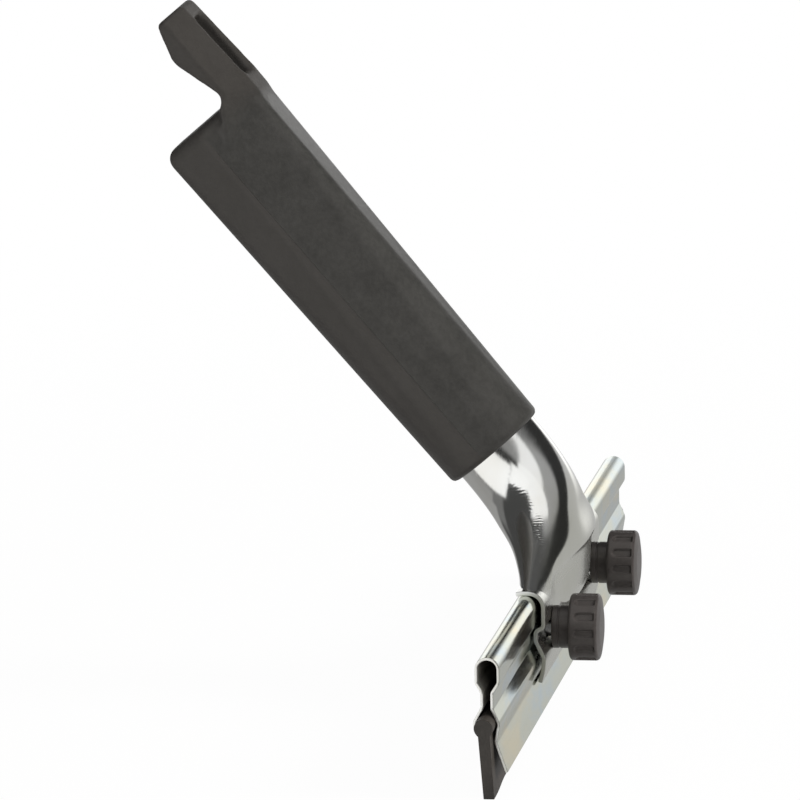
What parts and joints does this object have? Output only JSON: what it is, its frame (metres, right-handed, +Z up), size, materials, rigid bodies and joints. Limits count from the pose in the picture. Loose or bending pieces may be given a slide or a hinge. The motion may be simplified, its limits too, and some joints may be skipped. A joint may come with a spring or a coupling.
{
  "type": "window squeegee",
  "caption": "Hand window squeegee: a hooked grip on a bent, flared tube neck whose saddle and thumb knobs clamp a folded sheet rail that holds a rubber blade.",
  "frame": {"origin": "middle of the blade's edge, at the level of its resting face", "axes": "X along the rail, -Y the knob side, +Y the side the grip leans to, Z up from the blade's edge"},
  "size_m": [0.26, 0.1177, 0.1786],
  "materials": {
    "grip_plastic": "fine-grained moulded black plastic",
    "knob_plastic": "satin moulded black plastic",
    "plated_steel": "bright plated steel with fine scratches",
    "rail_steel": "zinc plated sheet with a pale green and yellow tint",
    "blade_rubber": "soft dark grey-brown rubber",
    "bolt_steel": "plated bolt steel",
    "insert_brass": "turned brass"
  },
  "bodies": {
    "frame": {"grip": "grip_plastic", "neck": "plated_steel", "saddle": "plated_steel", "rail": "rail_steel", "left_bolt": "bolt_steel", "right_bolt": "bolt_steel"},
    "blade_body": {"blade": "blade_rubber"},
    "left_insert_body": {"left_insert": "insert_brass"},
    "left_knob_body": {"left_knob": "knob_plastic"},
    "right_insert_body": {"right_insert": "insert_brass"},
    "right_knob_body": {"right_knob": "knob_plastic"}
  },
  "joints": [
    {"name": "blade_slide", "type": "slide", "parent": "frame", "child": "blade_body", "axis": [1, 0, 0], "range_m": [0, 0.26]},
    {"name": "left_insert_travel", "type": "slide", "parent": "frame", "child": "left_insert_body", "axis": [0, -1, 0], "range_m": [0, 0.0032]},
    {"name": "left_knob_turn", "type": "hinge", "parent": "left_insert_body", "child": "left_knob_body", "pos_m": [-0.039, -0.012, 0.0235], "axis": [0, -1, 0], "range_deg": [0, 1440]},
    {"name": "right_insert_travel", "type": "slide", "parent": "frame", "child": "right_insert_body", "axis": [0, -1, 0], "range_m": [0, 0.0032]},
    {"name": "right_knob_turn", "type": "hinge", "parent": "right_insert_body", "child": "right_knob_body", "pos_m": [0.039, -0.012, 0.0235], "axis": [0, -1, 0], "range_deg": [0, 1440]}
  ],
  "couplings": [
    {"joint": "left_insert_travel", "follows": "left_knob_turn", "m_per_rad": 0.00012732},
    {"joint": "right_insert_travel", "follows": "right_knob_turn", "m_per_rad": 0.00012732}
  ]
}
